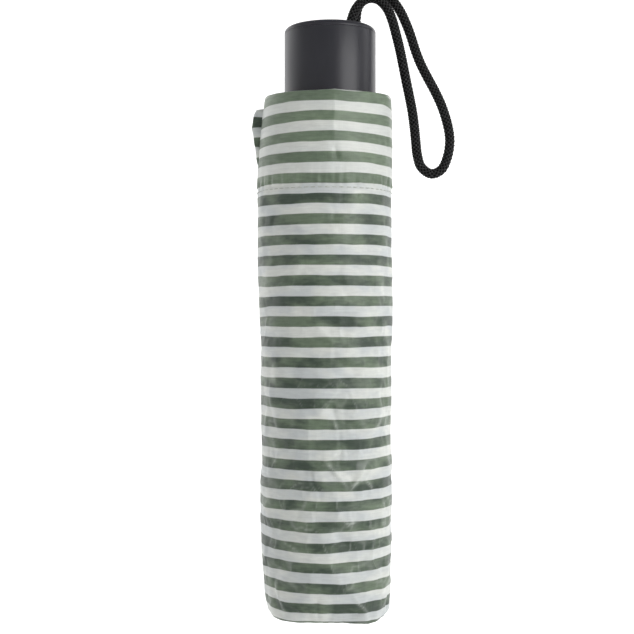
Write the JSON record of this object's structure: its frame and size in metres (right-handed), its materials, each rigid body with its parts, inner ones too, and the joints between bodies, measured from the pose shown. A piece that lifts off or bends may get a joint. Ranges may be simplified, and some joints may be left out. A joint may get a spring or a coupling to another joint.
{
  "type": "folding umbrella",
  "caption": "Compact folding umbrella closed in its striped cloth sleeve, with a round dark handle and a braided wrist cord.",
  "frame": {"origin": "on the axis of the shaft, at the flat base of the sleeve", "axes": "+Z along the shaft towards the handle; +X towards the side where the wrist cord hangs"},
  "size_m": [0.0838, 0.055, 0.2576],
  "materials": {
    "handle_plastic": "satin charcoal",
    "black_plastic": "moulded black",
    "shaft_steel": "plated, lightly brushed",
    "bright_steel": "bright",
    "rib_steel": "plated sheet",
    "tip_wire": "dark coated wire",
    "canopy_cloth": "polyester, sage green and white stripes",
    "sleeve_cloth": "polyester, sage green and white stripes",
    "cord_braid": "round black braid"
  },
  "bodies": {
    "handle": {"handle_shell": "handle_plastic", "handle_end_cap": "handle_plastic", "tube_socket": "handle_plastic", "shaft_pin": "bright_steel", "lower_tube": "shaft_steel", "wrist_cord": "cord_braid", "cord_knot": "cord_braid"},
    "middle_tube": {"middle_tube": "shaft_steel"},
    "upper_tube": {"upper_tube": "shaft_steel", "crown_notch": "black_plastic", "crown_ring": "bright_steel", "crown_cap": "black_plastic"},
    "runner": {"runner": "black_plastic"},
    "sleeve": {"sleeve": "sleeve_cloth", "sleeve_tab": "sleeve_cloth"},
    "top_rib_1": {"top_rib_1": "rib_steel"},
    "top_rib_2": {"top_rib_2": "rib_steel"},
    "top_rib_3": {"top_rib_3": "rib_steel"},
    "top_rib_4": {"top_rib_4": "rib_steel"},
    "top_rib_5": {"top_rib_5": "rib_steel"},
    "top_rib_6": {"top_rib_6": "rib_steel"},
    "mid_rib_1": {"mid_rib_1": "rib_steel"},
    "tip_rib_1": {"tip_rib_1": "tip_wire", "closing_strap": "canopy_cloth", "strap_snap": "bright_steel"},
    "stretcher_1": {"stretcher_1": "rib_steel"},
    "top_gore_1": {"top_gore_1": "canopy_cloth"},
    "mid_gore_1": {"mid_gore_1": "canopy_cloth"},
    "tip_gore_1": {"tip_gore_1": "canopy_cloth"},
    "mid_rib_2": {"mid_rib_2": "rib_steel"},
    "tip_rib_2": {"tip_rib_2": "tip_wire"},
    "stretcher_2": {"stretcher_2": "rib_steel"},
    "top_gore_2": {"top_gore_2": "canopy_cloth"},
    "mid_gore_2": {"mid_gore_2": "canopy_cloth"},
    "tip_gore_2": {"tip_gore_2": "canopy_cloth"},
    "mid_rib_3": {"mid_rib_3": "rib_steel"},
    "tip_rib_3": {"tip_rib_3": "tip_wire"},
    "stretcher_3": {"stretcher_3": "rib_steel"},
    "top_gore_3": {"top_gore_3": "canopy_cloth"},
    "mid_gore_3": {"mid_gore_3": "canopy_cloth"},
    "tip_gore_3": {"tip_gore_3": "canopy_cloth"},
    "mid_rib_4": {"mid_rib_4": "rib_steel"},
    "tip_rib_4": {"tip_rib_4": "tip_wire"},
    "stretcher_4": {"stretcher_4": "rib_steel"},
    "top_gore_4": {"top_gore_4": "canopy_cloth"},
    "mid_gore_4": {"mid_gore_4": "canopy_cloth"},
    "tip_gore_4": {"tip_gore_4": "canopy_cloth"},
    "mid_rib_5": {"mid_rib_5": "rib_steel"},
    "tip_rib_5": {"tip_rib_5": "tip_wire"},
    "stretcher_5": {"stretcher_5": "rib_steel"},
    "top_gore_5": {"top_gore_5": "canopy_cloth"},
    "mid_gore_5": {"mid_gore_5": "canopy_cloth"},
    "tip_gore_5": {"tip_gore_5": "canopy_cloth"},
    "mid_rib_6": {"mid_rib_6": "rib_steel"},
    "tip_rib_6": {"tip_rib_6": "tip_wire"},
    "stretcher_6": {"stretcher_6": "rib_steel"},
    "top_gore_6": {"top_gore_6": "canopy_cloth"},
    "mid_gore_6": {"mid_gore_6": "canopy_cloth"},
    "tip_gore_6": {"tip_gore_6": "canopy_cloth"}
  },
  "joints": [
    {"name": "middle_tube_slide", "type": "slide", "parent": "handle", "child": "middle_tube", "axis": [0, 0, -1], "range_m": [0, 0.15]},
    {"name": "upper_tube_slide", "type": "slide", "parent": "middle_tube", "child": "upper_tube", "axis": [0, 0, -1], "range_m": [0, 0.15]},
    {"name": "canopy_open", "type": "hinge", "parent": "upper_tube", "child": "top_rib_1", "pos_m": [0.009, 0, 0.016], "axis": [0, 1, 0], "range_deg": [0, 78], "deforming": ["top_gore_1", "mid_gore_1", "tip_gore_1", "top_gore_2", "mid_gore_2", "tip_gore_2", "top_gore_3", "mid_gore_3", "tip_gore_3", "top_gore_4", "mid_gore_4", "tip_gore_4", "top_gore_5", "mid_gore_5", "tip_gore_5", "top_gore_6", "mid_gore_6", "tip_gore_6", "sleeve", "sleeve_tab"]},
    {"name": "top_rib_2_open", "type": "hinge", "parent": "upper_tube", "child": "top_rib_2", "pos_m": [0.0045, 0.00779, 0.016], "axis": [-0.866, 0.5, 0], "range_deg": [0, 78]},
    {"name": "top_rib_3_open", "type": "hinge", "parent": "upper_tube", "child": "top_rib_3", "pos_m": [-0.0045, 0.00779, 0.016], "axis": [-0.866, -0.5, 0], "range_deg": [0, 78]},
    {"name": "top_rib_4_open", "type": "hinge", "parent": "upper_tube", "child": "top_rib_4", "pos_m": [-0.009, 0, 0.016], "axis": [0, -1, 0], "range_deg": [0, 78]},
    {"name": "top_rib_5_open", "type": "hinge", "parent": "upper_tube", "child": "top_rib_5", "pos_m": [-0.0045, -0.00779, 0.016], "axis": [0.866, -0.5, 0], "range_deg": [0, 78]},
    {"name": "top_rib_6_open", "type": "hinge", "parent": "upper_tube", "child": "top_rib_6", "pos_m": [0.0045, -0.00779, 0.016], "axis": [0.866, 0.5, 0], "range_deg": [0, 78]},
    {"name": "mid_rib_1_fold", "type": "hinge", "parent": "top_rib_1", "child": "mid_rib_1", "pos_m": [0.01105, 0, 0.182], "axis": [0, 1, 0], "range_deg": [-190, 0]},
    {"name": "tip_rib_1_fold", "type": "hinge", "parent": "mid_rib_1", "child": "tip_rib_1", "pos_m": [0.0146, 0, 0.026], "axis": [0, 1, 0], "range_deg": [0, 170]},
    {"name": "stretcher_1_turn", "type": "hinge", "parent": "top_rib_1", "child": "stretcher_1", "pos_m": [0.009, 0, 0.096], "axis": [0, 1, 0], "range_deg": [-156, 0]},
    {"name": "top_gore_1_spread", "type": "hinge", "parent": "top_rib_1", "child": "top_gore_1", "pos_m": [-0.01857, 0, 0.01266], "axis": [-0.9781, 0, 0.2079], "range_deg": [0, 60]},
    {"name": "mid_gore_1_spread", "type": "hinge", "parent": "mid_rib_1", "child": "mid_gore_1", "pos_m": [0.09439, 0, 0.33362], "axis": [0.9272, 0, -0.3746], "range_deg": [0, 60]},
    {"name": "tip_gore_1_spread", "type": "hinge", "parent": "tip_rib_1", "child": "tip_gore_1", "pos_m": [-0.20063, 0, -0.21108], "axis": [-0.848, 0, 0.5299], "range_deg": [0, 60]},
    {"name": "mid_rib_2_fold", "type": "hinge", "parent": "top_rib_2", "child": "mid_rib_2", "pos_m": [0.00553, 0.00957, 0.182], "axis": [-0.866, 0.5, 0], "range_deg": [-190, 0]},
    {"name": "tip_rib_2_fold", "type": "hinge", "parent": "mid_rib_2", "child": "tip_rib_2", "pos_m": [0.0073, 0.01264, 0.026], "axis": [-0.866, 0.5, 0], "range_deg": [0, 170]},
    {"name": "stretcher_2_turn", "type": "hinge", "parent": "top_rib_2", "child": "stretcher_2", "pos_m": [0.0045, 0.00779, 0.096], "axis": [-0.866, 0.5, 0], "range_deg": [-156, 0]},
    {"name": "top_gore_2_spread", "type": "hinge", "parent": "top_rib_2", "child": "top_gore_2", "pos_m": [-0.00928, -0.01608, 0.01266], "axis": [-0.4891, -0.8471, 0.2079], "range_deg": [0, 60]},
    {"name": "mid_gore_2_spread", "type": "hinge", "parent": "mid_rib_2", "child": "mid_gore_2", "pos_m": [0.04719, 0.08174, 0.33362], "axis": [0.4636, 0.803, -0.3746], "range_deg": [0, 60]},
    {"name": "tip_gore_2_spread", "type": "hinge", "parent": "tip_rib_2", "child": "tip_gore_2", "pos_m": [-0.10032, -0.17375, -0.21108], "axis": [-0.424, -0.7344, 0.5299], "range_deg": [0, 60]},
    {"name": "mid_rib_3_fold", "type": "hinge", "parent": "top_rib_3", "child": "mid_rib_3", "pos_m": [-0.00553, 0.00957, 0.182], "axis": [-0.866, -0.5, 0], "range_deg": [-190, 0]},
    {"name": "tip_rib_3_fold", "type": "hinge", "parent": "mid_rib_3", "child": "tip_rib_3", "pos_m": [-0.0073, 0.01264, 0.026], "axis": [-0.866, -0.5, 0], "range_deg": [0, 170]},
    {"name": "stretcher_3_turn", "type": "hinge", "parent": "top_rib_3", "child": "stretcher_3", "pos_m": [-0.0045, 0.00779, 0.096], "axis": [-0.866, -0.5, 0], "range_deg": [-156, 0]},
    {"name": "top_gore_3_spread", "type": "hinge", "parent": "top_rib_3", "child": "top_gore_3", "pos_m": [0.00928, -0.01608, 0.01266], "axis": [0.4891, -0.8471, 0.2079], "range_deg": [0, 60]},
    {"name": "mid_gore_3_spread", "type": "hinge", "parent": "mid_rib_3", "child": "mid_gore_3", "pos_m": [-0.04719, 0.08174, 0.33362], "axis": [-0.4636, 0.803, -0.3746], "range_deg": [0, 60]},
    {"name": "tip_gore_3_spread", "type": "hinge", "parent": "tip_rib_3", "child": "tip_gore_3", "pos_m": [0.10032, -0.17375, -0.21108], "axis": [0.424, -0.7344, 0.5299], "range_deg": [0, 60]},
    {"name": "mid_rib_4_fold", "type": "hinge", "parent": "top_rib_4", "child": "mid_rib_4", "pos_m": [-0.01105, 0, 0.182], "axis": [0, -1, 0], "range_deg": [-190, 0]},
    {"name": "tip_rib_4_fold", "type": "hinge", "parent": "mid_rib_4", "child": "tip_rib_4", "pos_m": [-0.0146, 0, 0.026], "axis": [0, -1, 0], "range_deg": [0, 170]},
    {"name": "stretcher_4_turn", "type": "hinge", "parent": "top_rib_4", "child": "stretcher_4", "pos_m": [-0.009, 0, 0.096], "axis": [0, -1, 0], "range_deg": [-156, 0]},
    {"name": "top_gore_4_spread", "type": "hinge", "parent": "top_rib_4", "child": "top_gore_4", "pos_m": [0.01857, 0, 0.01266], "axis": [0.9781, 0, 0.2079], "range_deg": [0, 60]},
    {"name": "mid_gore_4_spread", "type": "hinge", "parent": "mid_rib_4", "child": "mid_gore_4", "pos_m": [-0.09439, 0, 0.33362], "axis": [-0.9272, 0, -0.3746], "range_deg": [0, 60]},
    {"name": "tip_gore_4_spread", "type": "hinge", "parent": "tip_rib_4", "child": "tip_gore_4", "pos_m": [0.20063, 0, -0.21108], "axis": [0.848, 0, 0.5299], "range_deg": [0, 60]},
    {"name": "mid_rib_5_fold", "type": "hinge", "parent": "top_rib_5", "child": "mid_rib_5", "pos_m": [-0.00553, -0.00957, 0.182], "axis": [0.866, -0.5, 0], "range_deg": [-190, 0]},
    {"name": "tip_rib_5_fold", "type": "hinge", "parent": "mid_rib_5", "child": "tip_rib_5", "pos_m": [-0.0073, -0.01264, 0.026], "axis": [0.866, -0.5, 0], "range_deg": [0, 170]},
    {"name": "stretcher_5_turn", "type": "hinge", "parent": "top_rib_5", "child": "stretcher_5", "pos_m": [-0.0045, -0.00779, 0.096], "axis": [0.866, -0.5, 0], "range_deg": [-156, 0]},
    {"name": "top_gore_5_spread", "type": "hinge", "parent": "top_rib_5", "child": "top_gore_5", "pos_m": [0.00928, 0.01608, 0.01266], "axis": [0.4891, 0.8471, 0.2079], "range_deg": [0, 60]},
    {"name": "mid_gore_5_spread", "type": "hinge", "parent": "mid_rib_5", "child": "mid_gore_5", "pos_m": [-0.04719, -0.08174, 0.33362], "axis": [-0.4636, -0.803, -0.3746], "range_deg": [0, 60]},
    {"name": "tip_gore_5_spread", "type": "hinge", "parent": "tip_rib_5", "child": "tip_gore_5", "pos_m": [0.10032, 0.17375, -0.21108], "axis": [0.424, 0.7344, 0.5299], "range_deg": [0, 60]},
    {"name": "mid_rib_6_fold", "type": "hinge", "parent": "top_rib_6", "child": "mid_rib_6", "pos_m": [0.00553, -0.00957, 0.182], "axis": [0.866, 0.5, 0], "range_deg": [-190, 0]},
    {"name": "tip_rib_6_fold", "type": "hinge", "parent": "mid_rib_6", "child": "tip_rib_6", "pos_m": [0.0073, -0.01264, 0.026], "axis": [0.866, 0.5, 0], "range_deg": [0, 170]},
    {"name": "stretcher_6_turn", "type": "hinge", "parent": "top_rib_6", "child": "stretcher_6", "pos_m": [0.0045, -0.00779, 0.096], "axis": [0.866, 0.5, 0], "range_deg": [-156, 0]},
    {"name": "top_gore_6_spread", "type": "hinge", "parent": "top_rib_6", "child": "top_gore_6", "pos_m": [-0.00928, 0.01608, 0.01266], "axis": [-0.4891, 0.8471, 0.2079], "range_deg": [0, 60]},
    {"name": "mid_gore_6_spread", "type": "hinge", "parent": "mid_rib_6", "child": "mid_gore_6", "pos_m": [0.04719, -0.08174, 0.33362], "axis": [0.4636, -0.803, -0.3746], "range_deg": [0, 60]},
    {"name": "tip_gore_6_spread", "type": "hinge", "parent": "tip_rib_6", "child": "tip_gore_6", "pos_m": [-0.10032, 0.17375, -0.21108], "axis": [-0.424, 0.7344, 0.5299], "range_deg": [0, 60]},
    {"name": "runner_slide", "type": "slide", "parent": "upper_tube", "child": "runner", "axis": [0, 0, -1], "range_m": [0, 0.12683]},
    {"name": "sleeve_off", "type": "slide", "parent": "upper_tube", "child": "sleeve", "axis": [0, 0, -1], "range_m": [0, 0.235]}
  ],
  "couplings": [
    {"joint": "top_rib_2_open", "follows": "canopy_open", "ratio": 1},
    {"joint": "top_rib_3_open", "follows": "canopy_open", "ratio": 1},
    {"joint": "top_rib_4_open", "follows": "canopy_open", "ratio": 1},
    {"joint": "top_rib_5_open", "follows": "canopy_open", "ratio": 1},
    {"joint": "top_rib_6_open", "follows": "canopy_open", "ratio": 1},
    {"joint": "mid_rib_1_fold", "follows": "canopy_open", "ratio": -2.4359},
    {"joint": "tip_rib_1_fold", "follows": "canopy_open", "ratio": 2.1795},
    {"joint": "stretcher_1_turn", "follows": "canopy_open", "ratio": -2},
    {"joint": "top_gore_1_spread", "follows": "canopy_open", "ratio": 0.76923},
    {"joint": "mid_gore_1_spread", "follows": "canopy_open", "ratio": 0.76923},
    {"joint": "tip_gore_1_spread", "follows": "canopy_open", "ratio": 0.76923},
    {"joint": "mid_rib_2_fold", "follows": "canopy_open", "ratio": -2.4359},
    {"joint": "tip_rib_2_fold", "follows": "canopy_open", "ratio": 2.1795},
    {"joint": "stretcher_2_turn", "follows": "canopy_open", "ratio": -2},
    {"joint": "top_gore_2_spread", "follows": "canopy_open", "ratio": 0.76923},
    {"joint": "mid_gore_2_spread", "follows": "canopy_open", "ratio": 0.76923},
    {"joint": "tip_gore_2_spread", "follows": "canopy_open", "ratio": 0.76923},
    {"joint": "mid_rib_3_fold", "follows": "canopy_open", "ratio": -2.4359},
    {"joint": "tip_rib_3_fold", "follows": "canopy_open", "ratio": 2.1795},
    {"joint": "stretcher_3_turn", "follows": "canopy_open", "ratio": -2},
    {"joint": "top_gore_3_spread", "follows": "canopy_open", "ratio": 0.76923},
    {"joint": "mid_gore_3_spread", "follows": "canopy_open", "ratio": 0.76923},
    {"joint": "tip_gore_3_spread", "follows": "canopy_open", "ratio": 0.76923},
    {"joint": "mid_rib_4_fold", "follows": "canopy_open", "ratio": -2.4359},
    {"joint": "tip_rib_4_fold", "follows": "canopy_open", "ratio": 2.1795},
    {"joint": "stretcher_4_turn", "follows": "canopy_open", "ratio": -2},
    {"joint": "top_gore_4_spread", "follows": "canopy_open", "ratio": 0.76923},
    {"joint": "mid_gore_4_spread", "follows": "canopy_open", "ratio": 0.76923},
    {"joint": "tip_gore_4_spread", "follows": "canopy_open", "ratio": 0.76923},
    {"joint": "mid_rib_5_fold", "follows": "canopy_open", "ratio": -2.4359},
    {"joint": "tip_rib_5_fold", "follows": "canopy_open", "ratio": 2.1795},
    {"joint": "stretcher_5_turn", "follows": "canopy_open", "ratio": -2},
    {"joint": "top_gore_5_spread", "follows": "canopy_open", "ratio": 0.76923},
    {"joint": "mid_gore_5_spread", "follows": "canopy_open", "ratio": 0.76923},
    {"joint": "tip_gore_5_spread", "follows": "canopy_open", "ratio": 0.76923},
    {"joint": "mid_rib_6_fold", "follows": "canopy_open", "ratio": -2.4359},
    {"joint": "tip_rib_6_fold", "follows": "canopy_open", "ratio": 2.1795},
    {"joint": "stretcher_6_turn", "follows": "canopy_open", "ratio": -2},
    {"joint": "top_gore_6_spread", "follows": "canopy_open", "ratio": 0.76923},
    {"joint": "mid_gore_6_spread", "follows": "canopy_open", "ratio": 0.76923},
    {"joint": "tip_gore_6_spread", "follows": "canopy_open", "ratio": 0.76923},
    {"joint": "runner_slide", "follows": "canopy_open", "m_per_rad": 0.093094}
  ]
}
